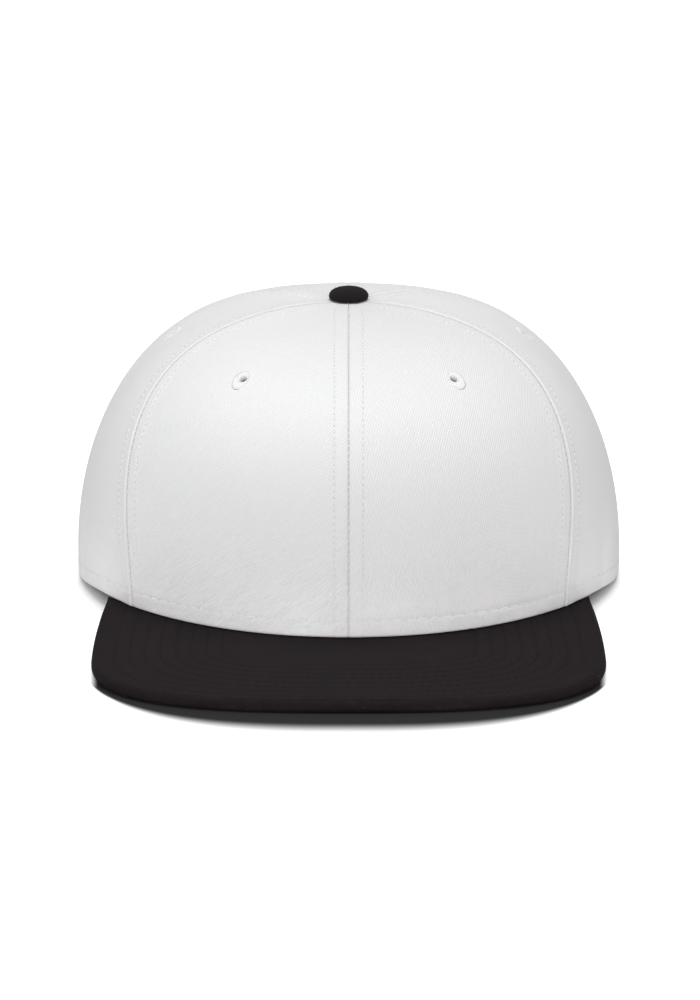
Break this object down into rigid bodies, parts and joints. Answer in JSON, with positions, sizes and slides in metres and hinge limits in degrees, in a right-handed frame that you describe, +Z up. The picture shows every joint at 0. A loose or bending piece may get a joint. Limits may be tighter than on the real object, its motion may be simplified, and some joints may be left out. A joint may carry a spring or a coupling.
{
  "type": "snapback cap",
  "caption": "High structured cap with a white panelled crown, a flat black peak, a covered button and a rear arch closed by a fastened snap strap.",
  "frame": {"origin": "middle of the cap's footprint, on the surface that it rests on", "axes": "+Z up through the crown, -Y out over the peak, +X to the right as the front is seen"},
  "size_m": [0.1888, 0.2628, 0.1018],
  "materials": {
    "crown_twill": "white wool-blend twill, matt, with fine diagonal ribs",
    "peak_twill": "black wool-blend twill over a flat board, matt, with rows of topstitching",
    "button_twill": "black twill stretched over a metal button",
    "eyelet_thread": "white rayon thread, satin stitched",
    "inner_tape": "white woven seam tape",
    "sweatband_cotton": "white cotton twill band, soft and matt",
    "strap_plastic": "black moulded plastic, satin"
  },
  "bodies": {
    "root": {"button": "button_twill", "eyelet_front_left": "eyelet_thread", "eyelet_front_right": "eyelet_thread", "eyelet_rear_left": "eyelet_thread", "eyelet_rear_right": "eyelet_thread", "eyelet_side_left": "eyelet_thread", "eyelet_side_right": "eyelet_thread", "front_panel_left": "crown_twill", "front_panel_right": "crown_twill", "rear_panel_left": "crown_twill", "rear_panel_right": "crown_twill", "seam_tape_front": "inner_tape", "seam_tape_front_left": "inner_tape", "seam_tape_front_right": "inner_tape", "seam_tape_rear": "inner_tape", "seam_tape_rear_left": "inner_tape", "seam_tape_rear_right": "inner_tape", "side_panel_left": "crown_twill", "side_panel_right": "crown_twill", "snap_strap_left": "strap_plastic", "snap_strap_right": "strap_plastic", "sweatband": "sweatband_cotton", "visor": "peak_twill"}
  },
  "joints": []
}
